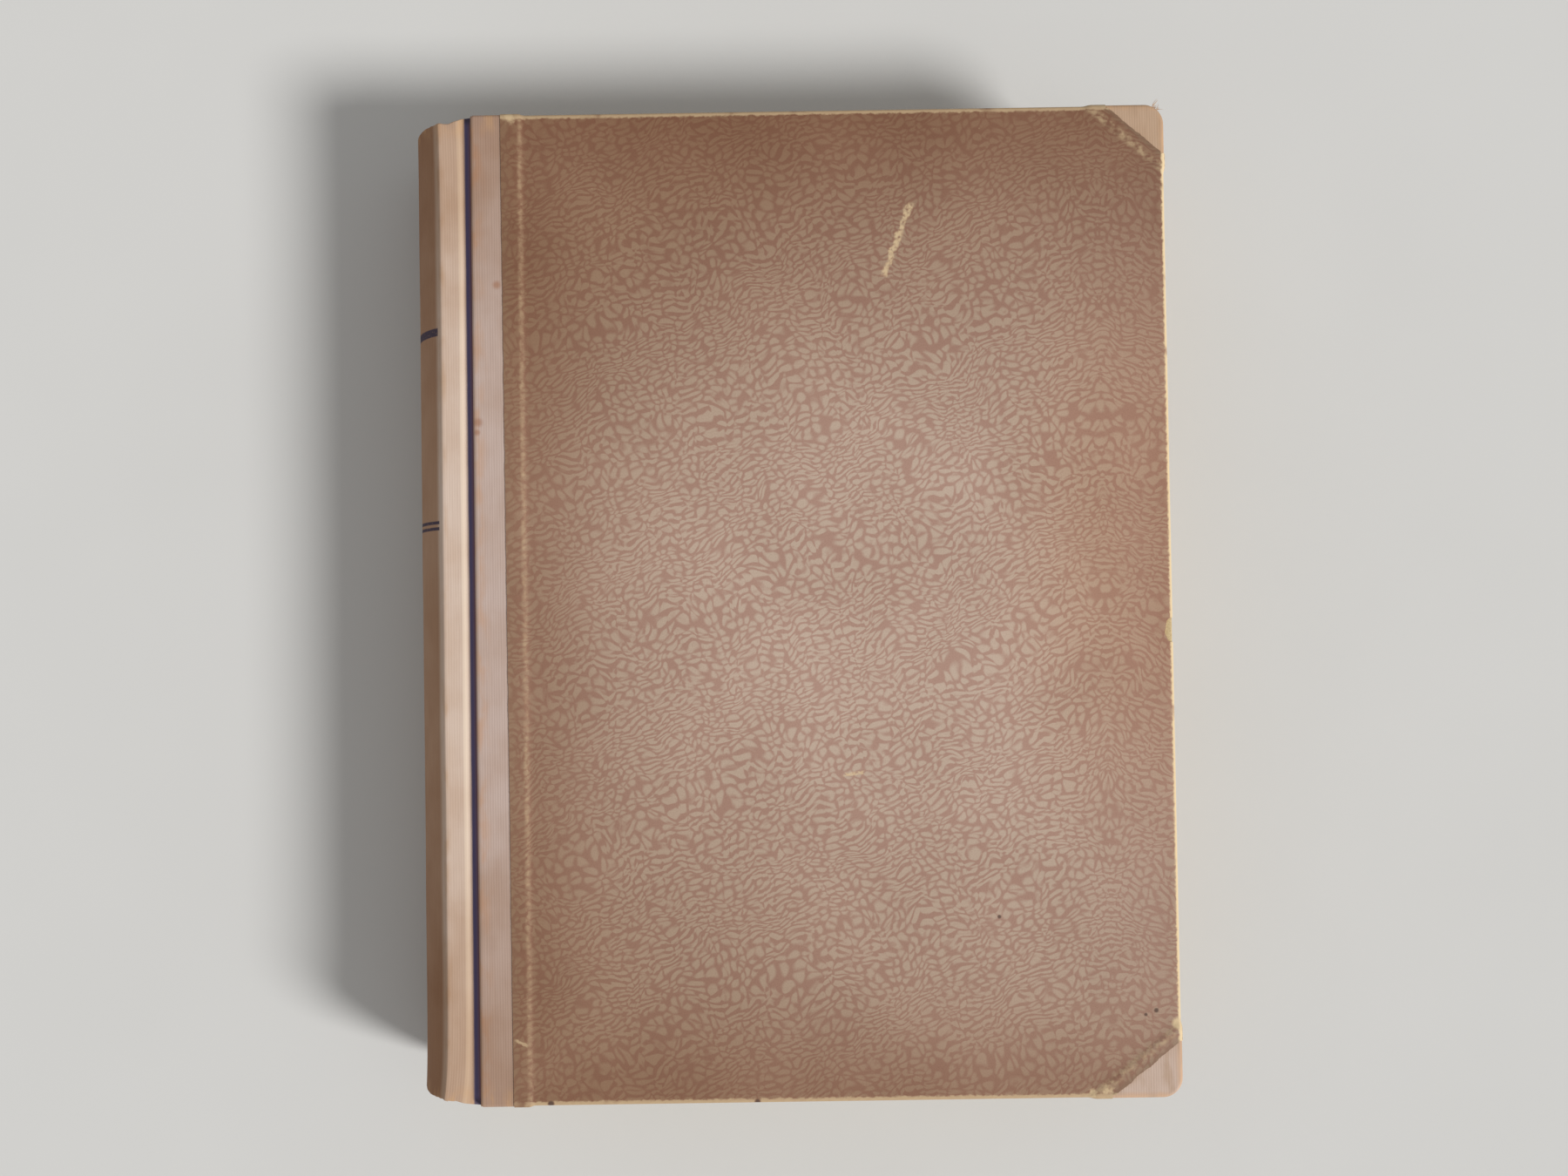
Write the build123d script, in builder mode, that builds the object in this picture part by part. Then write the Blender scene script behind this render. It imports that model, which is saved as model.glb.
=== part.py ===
import os
from math import asin, degrees, hypot, sqrt

from build123d import *

# A half-cloth book lying closed on its back cover.
# X runs from the spine to the fore-edge, Y from tail to head, Z up through the thickness.

# Boards
board_height = 245.0
board_width = 172.0
board_thickness = 2.5
board_corner_radius = 4.5
board_edge_radius = 0.5

# Covering sheets
cloth_thickness = 0.4
paper_thickness = 0.2
leaf_thickness = 0.2
cloth_on_board = 7.5
cloth_under_paper = 4.3
corner_under_paper = 3.0
head_corner_along = 14.0
head_corner_down = 12.0
tail_corner_along = 17.0
tail_corner_down = 13.5
turn_in = 15.0
pastedown_margin = 3.0

# Text block
block_thickness = 32.0
head_square = 3.5
fore_edge_square = 3.5
fore_edge_hollow = 5.0
cover_clearance = 0.15

# Spine and joints
joint_width = 8.2
joint_gap = 0.4
groove_floor = 0.25
shoulder_rise = 1.9
shoulder_clearance = 0.3
spine_round = 8.5
spine_shortfall = 1.5
ridge_radius = 0.8
card_thickness = 1.0
card_setback = 0.5
hollow_depth = 0.7
liner_thickness = 0.3
liner_shortfall = 2.0
gauze_thickness = 0.3
gauze_shortfall = 10.0
band_radius = 1.0
band_sink = 0.3
band_inset = 0.6

# Levels of the front half, measured up from the middle of the thickness
block_top = block_thickness / 2
leaf_top = block_top + leaf_thickness
pastedown_under = leaf_top + cover_clearance
turn_in_under = pastedown_under + leaf_thickness
board_under = turn_in_under + cloth_thickness
board_top = board_under + board_thickness
cloth_top = board_top + cloth_thickness
paper_top = cloth_top + paper_thickness
middle_z = paper_top

# Spine section, measured from the joint edge of the boards and the middle of the thickness
groove_x = -(cloth_thickness + joint_gap)
groove_top = turn_in_under + groove_floor + cloth_thickness
ridge_x = -joint_width
ridge_top = groove_top + shoulder_rise
spine_left = ridge_x - spine_round
cloth_radius = (ridge_top**2 + spine_round**2) / (2 * spine_round)
card_radius = cloth_radius - cloth_thickness
hollow_radius = card_radius - card_thickness
fold_radius = hollow_radius - cloth_thickness
liner_radius = hollow_radius - hollow_depth
gauze_radius = liner_radius - liner_thickness
back_radius = gauze_radius - gauze_thickness
arc_x = spine_left + cloth_radius
flange_length = hypot(groove_x - ridge_x, shoulder_rise)
flange_run_share = (groove_x - ridge_x) / flange_length
flange_drop_share = shoulder_rise / flange_length
card_depth = cloth_thickness + card_setback
shoulder_depth = cloth_thickness + shoulder_clearance

# Places in the plan
lap = cloth_thickness + paper_thickness
joint_x = -(spine_left + board_width + lap) / 2
fore_edge_x = joint_x + board_width
paper_edge_x = joint_x + cloth_on_board
cloth_edge_x = paper_edge_x + cloth_under_paper
half_height = board_height / 2
block_half = half_height - head_square
spine_half = half_height - spine_shortfall

section = Plane(origin=(joint_x, 0, middle_z), x_dir=(1, 0, 0), z_dir=(0, -1, 0))
middle = Plane.XY.offset(middle_z)
spine_axis = Axis((joint_x + arc_x, 0, middle_z), (0, 1, 0))

os.makedirs("parts", exist_ok=True)


def level(height):
    return Plane.XY.offset(middle_z + height)


def flange_start(depth):
    # a point on the sloping cloth between ridge and groove, a depth below its outer face
    return ridge_x - depth * flange_drop_share, ridge_top - depth * flange_run_share


def flange_at_arc(depth, radius):
    # where that line leaves an arc about the spine's centre, on the spine side
    x, z = flange_start(depth)
    climb = z * flange_drop_share - (x - arc_x) * flange_run_share
    excess = (x - arc_x) ** 2 + z**2 - radius**2
    reach = sqrt(climb**2 - excess) - climb
    return x - reach * flange_run_share, z + reach * flange_drop_share


def flange_at_level(depth, height):
    x, z = flange_start(depth)
    return x + (z - height) * flange_run_share / flange_drop_share, height


def flange_at_groove(depth):
    x, z = flange_start(depth)
    return groove_x, z - (groove_x - x) * flange_drop_share / flange_run_share


def below(point):
    return point[0], -point[1]


def spine_sheet(outer, inner, depth):
    # the section of a sheet bent round the spine, its two ends trimmed along the flange
    outer_end = flange_at_arc(depth, outer)
    inner_end = flange_at_arc(depth, inner)
    with BuildLine() as outline:
        ThreePointArc(outer_end, (arc_x - outer, 0), below(outer_end))
        Line(below(outer_end), below(inner_end))
        ThreePointArc(below(inner_end), (arc_x - inner, 0), inner_end)
        Line(inner_end, outer_end)
    make_face(outline.edges())


def round_ridge(point, radius):
    fillet(vertices().sort_by_distance((*point, 0))[0], radius)


def strip(left, right, half, mode=Mode.ADD):
    Polygon((left, -half), (right, -half), (right, half), (left, half), align=None, mode=mode)


def board_plan(grow):
    # the board's outline, grown all round, its fore-edge corners rubbed round
    strip(joint_x - grow, fore_edge_x + grow, half_height + grow)
    fillet(vertices().group_by(Axis.X)[-1], board_corner_radius + grow)


def corner_tip(along, down, side, under, mode=Mode.ADD):
    # all that lies outside a corner cloth's slanting edge, which runs on under the paper
    slant = hypot(along, down)
    foot = along + under * slant / down
    drop = down + under * slant / along
    tip = (fore_edge_x + lap, side * (half_height + lap))
    head_end = (fore_edge_x - foot - lap * foot / drop, tip[1])
    edge_end = (tip[0], side * (half_height - drop - lap * drop / foot))
    Polygon(head_end, edge_end, tip, align=None, mode=mode)


def corner_tips(under, mode):
    corner_tip(head_corner_along, head_corner_down, 1, under, mode)
    corner_tip(tail_corner_along, tail_corner_down, -1, under, mode)


def cloth_plan(riser, mode):
    # the joint strip and both corner tips, with room for the paper that steps down beside them
    strip(joint_x - lap, cloth_edge_x + riser, half_height + lap, mode)
    corner_tips(corner_under_paper + riser, mode)


def paper_plan():
    # what of the board the side paper is seen to cover
    board_plan(lap)
    strip(joint_x - lap, paper_edge_x, half_height + lap, Mode.SUBTRACT)
    corner_tips(0, Mode.SUBTRACT)


def wrap(grow):
    # the board grown by the sheets over it, with rolled edges
    with BuildSketch(level(board_under - grow)) as plan:
        board_plan(grow)
    extrude(plan.sketch, amount=board_thickness + 2 * grow)
    fillet(faces().filter_by(Axis.Z).edges(), board_edge_radius + grow)


# Front board
with BuildPart() as front_board:
    wrap(0)

# The room each covering takes up round the board
with BuildPart() as cloth_room:
    wrap(cloth_thickness)

with BuildPart() as paper_room:
    wrap(paper_thickness)

with BuildPart() as lap_room:
    wrap(lap)
    with BuildSketch(level(board_under)):
        cloth_plan(paper_thickness, Mode.ADD)
    extrude(amount=board_thickness + lap, mode=Mode.INTERSECT)

# Cloth strip on the front board, turned in at head and tail
with BuildPart() as front_joint_cloth:
    add(cloth_room.part)
    with BuildSketch(level(0)):
        strip(joint_x - lap, cloth_edge_x, half_height + lap)
    extrude(amount=paper_top, mode=Mode.INTERSECT)
    with BuildSketch(level(0)):
        strip(joint_x - lap, joint_x, half_height + lap)
        strip(joint_x - lap, cloth_edge_x, half_height - turn_in)
    extrude(amount=board_under, mode=Mode.SUBTRACT)
    add(front_board.part, mode=Mode.SUBTRACT)

# Cloth tips on the two fore-edge corners
with BuildPart() as front_head_corner:
    add(cloth_room.part)
    with BuildSketch(level(0)):
        corner_tip(head_corner_along, head_corner_down, 1, corner_under_paper)
    extrude(amount=paper_top, mode=Mode.INTERSECT)
    add(front_board.part, mode=Mode.SUBTRACT)

with BuildPart() as front_tail_corner:
    add(cloth_room.part)
    with BuildSketch(level(0)):
        corner_tip(tail_corner_along, tail_corner_down, -1, corner_under_paper)
    extrude(amount=paper_top, mode=Mode.INTERSECT)
    add(front_board.part, mode=Mode.SUBTRACT)

# Side paper, which laps over the cloth outside and butts against it inside
with BuildPart() as paper_limits:
    with BuildSketch(level(board_under)):
        paper_plan()
    extrude(amount=board_thickness + lap)
    with BuildSketch(level(0)):
        paper_plan()
        cloth_plan(0, Mode.SUBTRACT)
        strip(joint_x, fore_edge_x - turn_in, half_height - turn_in, Mode.SUBTRACT)
    extrude(amount=board_under)

with BuildPart() as front_side_paper:
    add(paper_room.part)
    add(lap_room.part)
    add(paper_limits.part, mode=Mode.INTERSECT)
    add(front_board.part, mode=Mode.SUBTRACT)
    add(front_joint_cloth.part, mode=Mode.SUBTRACT)
    add(front_head_corner.part, mode=Mode.SUBTRACT)
    add(front_tail_corner.part, mode=Mode.SUBTRACT)

# Pastedown, with the filling sheet that levels the board between the turn-ins
with BuildPart() as front_pastedown:
    with BuildSketch(level(pastedown_under)):
        strip(
            joint_x + board_edge_radius,
            fore_edge_x - pastedown_margin,
            half_height - pastedown_margin,
        )
    extrude(amount=board_under - pastedown_under)
    add(front_joint_cloth.part, mode=Mode.SUBTRACT)
    add(front_head_corner.part, mode=Mode.SUBTRACT)
    add(front_tail_corner.part, mode=Mode.SUBTRACT)
    add(front_side_paper.part, mode=Mode.SUBTRACT)

# Flyleaf on the pages
shoulder_foot = flange_at_level(shoulder_depth, block_top)
block_fore_edge = board_width - fore_edge_square
with BuildPart() as front_flyleaf:
    with BuildSketch(level(block_top)):
        strip(joint_x + shoulder_foot[0], joint_x + block_fore_edge, block_half)
    extrude(amount=leaf_thickness)

# Text block: rounded back with shoulders, hollow fore-edge
shoulder_tip = flange_at_arc(shoulder_depth, back_radius)
with BuildPart() as text_block:
    with BuildSketch(section):
        with BuildLine():
            Line(shoulder_foot, (block_fore_edge, block_top))
            ThreePointArc(
                (block_fore_edge, block_top),
                (block_fore_edge - fore_edge_hollow, 0),
                (block_fore_edge, -block_top),
            )
            Line((block_fore_edge, -block_top), below(shoulder_foot))
            Line(below(shoulder_foot), below(shoulder_tip))
            ThreePointArc(below(shoulder_tip), (arc_x - back_radius, 0), shoulder_tip)
            Line(shoulder_tip, shoulder_foot)
        make_face()
    extrude(amount=block_half, both=True)

# Linings on the back of the pages
with BuildPart() as spine_gauze:
    with BuildSketch(section) as gauze_section:
        spine_sheet(gauze_radius, back_radius, shoulder_depth)
    extrude(amount=block_half - gauze_shortfall, both=True)

with BuildPart() as spine_liner:
    with BuildSketch(section) as liner_section:
        spine_sheet(liner_radius, gauze_radius, shoulder_depth)
    extrude(amount=block_half - liner_shortfall, both=True)

# Spine card
with BuildPart() as spine_card:
    with BuildSketch(section) as card_section:
        spine_sheet(card_radius, hollow_radius, card_depth)
    extrude(amount=spine_half, both=True)

# Spine cloth, from groove to groove, folded over the card at head and tail
ridge = (ridge_x, ridge_top)
groove = (groove_x, groove_top)
ridge_inside = flange_at_arc(cloth_thickness, card_radius)
groove_inside = flange_at_groove(cloth_thickness)
with BuildPart() as spine_cloth:
    with BuildSketch(section):
        with BuildLine():
            Line(groove, ridge)
            ThreePointArc(ridge, (spine_left, 0), below(ridge))
            Line(below(ridge), below(groove))
            Line(below(groove), below(groove_inside))
            Line(below(groove_inside), below(ridge_inside))
            ThreePointArc(below(ridge_inside), (arc_x - card_radius, 0), ridge_inside)
            Line(ridge_inside, groove_inside)
            Line(groove_inside, groove)
        make_face()
        round_ridge(ridge, ridge_radius)
        round_ridge(below(ridge), ridge_radius)
        round_ridge(ridge_inside, ridge_radius - cloth_thickness)
        round_ridge(below(ridge_inside), ridge_radius - cloth_thickness)
    extrude(amount=spine_half + cloth_thickness, both=True)
    for side in (1, -1):
        with BuildSketch(section.offset(side * spine_half)):
            spine_sheet(cloth_radius, fold_radius, card_depth)
        extrude(amount=side * cloth_thickness)
        with BuildSketch(section.offset(side * spine_half)):
            spine_sheet(hollow_radius, fold_radius, card_depth)
        extrude(amount=-side * turn_in)

# Head band and tail band, beads along the back edge of the pages
band_x = joint_x + arc_x - back_radius + band_inset
band_y = block_half + band_radius - band_sink
band_angle = degrees(asin((shoulder_tip[1] - 2 * band_radius) / back_radius))
with BuildPart() as head_band:
    with BuildSketch(middle):
        with Locations((band_x, band_y)):
            Circle(band_radius)
        strip(band_x - band_radius, band_x + band_radius, block_half, Mode.SUBTRACT)
    revolve(axis=spine_axis, revolution_arc=band_angle)
    mirror(about=middle)

with BuildPart() as tail_band:
    mirror(head_band.part, about=Plane.XZ)

# Nodes
pieces = {
    "text_block": text_block,
    "front_flyleaf": front_flyleaf,
    "spine_gauze": spine_gauze,
    "spine_liner": spine_liner,
    "spine_card": spine_card,
    "spine_cloth": spine_cloth,
    "head_band": head_band,
    "tail_band": tail_band,
    "front_board": front_board,
    "front_joint_cloth": front_joint_cloth,
    "front_head_corner": front_head_corner,
    "front_tail_corner": front_tail_corner,
    "front_side_paper": front_side_paper,
    "front_pastedown": front_pastedown,
}
for name, piece in pieces.items():
    piece.part.label = name
    export_step(piece.part, f"parts/{name}.step")
    if name.startswith("front"):
        back_name = name.replace("front", "back")
        with BuildPart() as back_piece:
            mirror(piece.part, about=middle)
        back_piece.part.label = back_name
        export_step(back_piece.part, f"parts/{back_name}.step")
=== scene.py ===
from math import cos, exp, hypot, pi, radians, sin, sqrt, tan
from random import Random

import bmesh
import bpy
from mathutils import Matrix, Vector
from mathutils.geometry import delaunay_2d_cdt
from mathutils.noise import noise


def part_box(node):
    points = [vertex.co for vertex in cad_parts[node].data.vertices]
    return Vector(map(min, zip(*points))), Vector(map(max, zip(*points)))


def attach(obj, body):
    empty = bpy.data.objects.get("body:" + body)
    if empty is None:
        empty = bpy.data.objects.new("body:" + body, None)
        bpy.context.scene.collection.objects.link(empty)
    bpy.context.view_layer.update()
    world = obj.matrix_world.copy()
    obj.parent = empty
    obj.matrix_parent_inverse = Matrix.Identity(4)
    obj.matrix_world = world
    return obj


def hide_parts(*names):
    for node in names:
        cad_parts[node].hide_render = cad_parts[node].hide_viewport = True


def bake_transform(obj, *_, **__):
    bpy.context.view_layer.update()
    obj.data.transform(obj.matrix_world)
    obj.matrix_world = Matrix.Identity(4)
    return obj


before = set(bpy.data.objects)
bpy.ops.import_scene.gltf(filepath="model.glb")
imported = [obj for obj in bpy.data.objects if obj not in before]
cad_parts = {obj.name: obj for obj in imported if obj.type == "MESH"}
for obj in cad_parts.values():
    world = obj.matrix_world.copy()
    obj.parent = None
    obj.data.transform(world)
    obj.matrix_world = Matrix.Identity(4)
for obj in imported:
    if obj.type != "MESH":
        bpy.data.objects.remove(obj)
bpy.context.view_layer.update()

# Sizes, in millimetres

MM = 0.001


def extent(node):
    """Lowest and highest corners of a CAD node, in millimetres."""
    low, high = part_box(node)
    return low / MM, high / MM


board_low, board_high = extent("front_board")
spine_low, spine_high = extent("spine_cloth")
block_high = extent("text_block")[1]

JOINT_X, FORE_X, HEAD_Y = board_low.x, board_high.x, board_high.y
UNDER, TOP = board_low.z, board_high.z
MIDDLE = (TOP + extent("back_board")[0].z) / 2

CLOTH = 0.4
PAPER = 0.2
EDGE_ROUND = 0.5
CORNER_ROUND = 4.5
TURN_IN = 15
CLOTH_EDGE = 11.8
PAPER_EDGE = 7.5
CORNER_LAP = 3.0
HEAD_CORNER = (14.0, 12.0)
TAIL_CORNER = (17.0, 13.5)
CORNERS = (("head", HEAD_CORNER, 1), ("tail", TAIL_CORNER, -1))
FORE_CHIP = (-11.0, -5.0, 1.35)
LEAF = 0.08
PASTED_LEAF = 0.1
# share of a covering's thickness that is drawn, so that it clears what it covers
SHEET_SHARE = 0.95
EDGE_STEP = 0.6
TORN_STEP = 0.35

# the hinge's section, from the board's joint edge and the book's middle
RIDGE = (-8.2, 19.1)
BACK_X = spine_low.x - JOINT_X
SPINE_ROUND = RIDGE[0] - BACK_X
CLOTH_RADIUS = (RIDGE[1] ** 2 + SPINE_ROUND ** 2) / (2 * SPINE_ROUND)
ARC_X = BACK_X + CLOTH_RADIUS
PAGES_RADIUS = CLOTH_RADIUS - 2.7
BLOCK_HALF = 16.0
SHOULDER_FOOT = 1.05
SHOULDER_SLOPE = 0.2568
FOLD_X = -5.65
FORE_HOLLOW = 5.0
LEAF_HALF = block_high.y
BLOCK_FORE = block_high.x - JOINT_X
SPINE_HALF = spine_high.y
# how many leaves are drawn, and how many are sewn into one gathering
LEAVES = 112
GATHERING = 8
# where the cloth turns down off the board, a place past the joint edge that is passed on but not used, and
# the groove's foot and floor
BEND_START = 0.5
BEND_END = -0.3
GROOVE_FOOT = -0.7
GROOVE_FLOOR = 17.25

# how deep the turned-in cloth lies under the outer cloth's face
GROOVE_FOLD = 0.42
RIDGE_FOLD = 0.85
BACK_FOLD = 1.8
BOARD_FOLD = 3.3

# the leaf pasted inside a cover, which sinks where no turned-in cloth or paper lies under it
PASTED_LEVEL = 16.37
PASTED_MARGIN = 3
PASTED_STEP = 1.6
CLOTH_SINK = 0.1
PAPER_SINK = 0.14
TURN_IN_STEP = (TURN_IN + 0.6, TURN_IN + 2.2)

# the paper's cells, the seam that mirrors them, and how far the pattern moves on for the back and for flaps
PEBBLE = 2.1
ROD = 1.9
SEAM_X = 77.5
BACK_SHIFT = 400
FLAP_SHIFT = 60

# marks on the front paper, as a place and a size
PALE_SPOTS = (((75.6, -120.8), 1.2), ((72.4, -121.8), 1.0), ((-68.6, 122.4), 1.5))
TAIL_NICKS = (((-61.0, -122.2), 0.7), ((-10.2, -122.4), 0.6))
DARK_SPECKS = (((88.2, -101.5), 0.55), ((85.6, -102.5), 0.4), ((50.0, -78.0), 0.45))

# rules on the back, and rust marks on the joint as an inset from the cloth's edge, a height and a size
WIDE_RULE = 69.0
THIN_RULES = (21.4, 19.9)
RUST_MARKS = ((5.9, 80.2, 0.9), (0.9, 46.0, 1.0), (0.6, 43.5, 0.7))


# Shapes

def ease(value, low, high):
    """Smooth step from 0 at low to 1 at high."""
    t = min(max((value - low) / (high - low), 0), 1)
    return t * t * (3 - 2 * t)


def waver(a, b, seed):
    """Smooth random value, about -1 to 1."""
    return noise((a, b, seed * 7.31))


def spread(start, end, step):
    """Evenly spaced values from start to end."""
    count = max(1, round(abs(end - start) / step))
    return [start + (end - start) * k / count for k in range(count + 1)]


def piece(name, points, faces, flat, material, thickness=0, mirrored=False, closed=False):
    """Named mesh from millimetres, with the flat place of every point kept for its material."""
    if mirrored:
        points = [(x, y, 2 * MIDDLE - z) for x, y, z in points]
        faces = [face[::-1] for face in faces]
    mesh = bpy.data.meshes.new(name)
    mesh.from_pydata([(x * MM, y * MM, z * MM) for x, y, z in points], [], faces)
    layer = mesh.attributes.new("flat", "FLOAT_VECTOR", "POINT")
    layer.data.foreach_set("vector", [part for place in flat for part in place])
    if closed:
        shell = bmesh.new()
        shell.from_mesh(mesh)
        bmesh.ops.recalc_face_normals(shell, faces=shell.faces)
        shell.to_mesh(mesh)
        shell.free()
    mesh.shade_smooth()
    item = bpy.data.objects.new(name, mesh)
    bpy.context.scene.collection.objects.link(item)
    if thickness:
        solid = item.modifiers.new("thickness", "SOLIDIFY")
        solid.thickness = thickness * MM
        solid.offset = -1
        bpy.context.view_layer.update()
        graph = bpy.context.evaluated_depsgraph_get()
        item.data = bpy.data.meshes.new_from_object(item.evaluated_get(graph))
        item.modifiers.clear()
        item.data.name = name
    item.data.set_sharp_from_angle(angle=radians(50))
    item.data.materials.clear()
    item.data.materials.append(material)
    return item


def grid(columns, rows):
    """Quads over points stored column by column."""
    return [
        (i * rows + j, i * rows + j + 1, (i + 1) * rows + j + 1, (i + 1) * rows + j)
        for i in range(columns - 1)
        for j in range(rows - 1)
    ]


def inside(x, y, outline):
    """True where a place lies within a closed outline."""
    result = False
    for (ax, ay), (bx, by) in zip(outline, outline[1:] + outline[:1]):
        if (ay > y) != (by > y) and x < (bx - ax) * (y - ay) / (by - ay) + ax:
            result = not result
    return result


def tube(rings, around, first=0):
    """Quads between closed rings of points stored ring by ring."""
    faces = []
    for ring in range(rings - 1):
        for k in range(around):
            a, b = first + ring * around + k, first + ring * around + (k + 1) % around
            faces.append((a, b, b + around, a + around))
    return faces


def net(outline, spacing, creases):
    """Triangles over a flat outline, whose own points come first, with more along its creases."""
    low_x, high_x = min(x for x, y in outline), max(x for x, y in outline)
    low_y, high_y = min(y for x, y in outline), max(y for x, y in outline)
    taken = {(round(x / spacing), round(y / spacing)) for x, y in outline}
    places = list(outline)
    for x in spread(low_x + spacing / 2, high_x - spacing / 2, spacing):
        for y in spread(low_y + spacing / 2, high_y - spacing / 2, spacing):
            if (round(x / spacing), round(y / spacing)) not in taken and inside(x, y, outline):
                places.append((x, y))
    places += [place for place in creases if inside(*place, outline)]
    _, _, faces, origin, _, _ = delaunay_2d_cdt(
        [Vector(place) for place in places], [], [list(range(len(outline)))], 1, 1e-4
    )
    index = [sources[0] for sources in origin]
    triangles = []
    for face in faces:
        a, b, c = (index[i] for i in face)
        (ax, ay), (bx, by), (cx, cy) = places[a], places[b], places[c]
        turn = (bx - ax) * (cy - ay) - (cx - ax) * (by - ay)
        triangles.append((a, b, c) if turn > 0 else (a, c, b))
    return places, triangles


def skin(runs, spacing, lift, thickness, sway, creases=(), whole_flap=False):
    """Sheet over a board's outer face and folded round its edge.

    Each run of its outline is a list of (x, y) places where the sheet is cut,
    or of (x, y, nx, ny) places on the board's edge, where it folds over."""
    outline, rims = [], []
    for run in runs:
        if len(run[0]) == 4:
            rims.append((len(outline), run))
            outline += [(x - nx * EDGE_ROUND, y - ny * EDGE_ROUND) for x, y, nx, ny in run]
        else:
            outline += run
    places, faces = net(outline, spacing, creases)
    points = [(x, y, TOP + lift(x, y) + thickness + sway(x, y)) for x, y in places]
    flat = [(x, y, 0) for x, y in places]
    last_row = {}
    for first, run in rims:
        columns = []
        for k, (x, y, nx, ny) in enumerate(run):
            over = lift(x - nx * EDGE_ROUND, y - ny * EDGE_ROUND)
            under = over * 0.55
            column, length = [first + k], 0
            radius = EDGE_ROUND + over + thickness
            way = [
                (radius * cos(a) - EDGE_ROUND, TOP - EDGE_ROUND + radius * sin(a))
                for a in (pi * 0.4, pi * 0.3, pi * 0.2, pi * 0.1, 0)
            ]
            radius = EDGE_ROUND + under + thickness
            way += [
                (radius * cos(a) - EDGE_ROUND, UNDER + EDGE_ROUND - radius * sin(a))
                for a in (0, pi / 8, pi / 4, pi * 3 / 8, pi / 2)
            ]
            if not whole_flap:
                way += [
                    (-EDGE_ROUND - TURN_IN * share, UNDER - under - thickness)
                    for share in (0.3, 0.65, 1)
                ]
            previous = (-EDGE_ROUND, TOP + over + thickness)
            for out, z in way:
                length += hypot(out - previous[0], z - previous[1])
                previous = (out, z)
                column.append(len(points))
                points.append((x + nx * out, y + ny * out, z))
                reach = length - EDGE_ROUND
                flat.append((x + nx * reach, y + ny * reach, 0))
            columns.append(column)
            last_row[first + k] = column[-1]
        for left, right in zip(columns, columns[1:]):
            for k in range(len(left) - 1):
                faces.append((left[k], left[k + 1], right[k + 1], right[k]))
    if whole_flap:
        lower = dict(last_row)
        for k, (x, y) in enumerate(places):
            if k not in lower:
                lower[k] = len(points)
                points.append((x, y, UNDER - thickness))
                flat.append((x + FLAP_SHIFT, y, 0))
        faces += [tuple(lower[k] for k in face[::-1]) for face in faces if len(face) == 3]
    return points, faces, flat


def ragged(start, end, step, amount, seed):
    """Places between two ends along a torn, slightly uneven cut, ends left out."""
    (ax, ay), (bx, by) = start, end
    length = hypot(bx - ax, by - ay)
    nx, ny = (by - ay) / length, (ax - bx) / length
    count = round(length / step)
    places = []
    for k in range(1, count):
        t = k / count
        along = t * length
        off = amount * (waver(along * 0.22, 0, seed) + 0.6 * waver(along * 1.3, 2, seed))
        off *= min(1, 4 * t, 4 * (1 - t))
        places.append((ax + (bx - ax) * t + nx * off, ay + (by - ay) * t + ny * off))
    return places


def corner_line(corner, y_side, lap):
    """Ends of a corner's diagonal, on the head or tail edge and on the fore-edge."""
    along, down = corner
    slant = hypot(along, down)
    return (
        (FORE_X - along - lap * slant / down, y_side * HEAD_Y),
        (FORE_X, y_side * (HEAD_Y - down - lap * slant / along)),
    )


def past_line(x, y, line):
    """Distance beyond a corner's diagonal, towards the corner, in numbers or in a material's values."""
    (ax, ay), (bx, by) = line
    side = 1 if ay > 0 else -1
    return ((y - ay) * (bx - ax) - (x - ax) * (by - ay)) * (side / hypot(bx - ax, by - ay))


CORNER_LAPS = [corner_line(corner, y_side, CORNER_LAP) for _, corner, y_side in CORNERS]


def past_laps(x, y):
    """Distance of a place beyond the cut edge of the nearer corner's cloth."""
    return max(past_line(x, y, lap) for lap in CORNER_LAPS)


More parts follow.
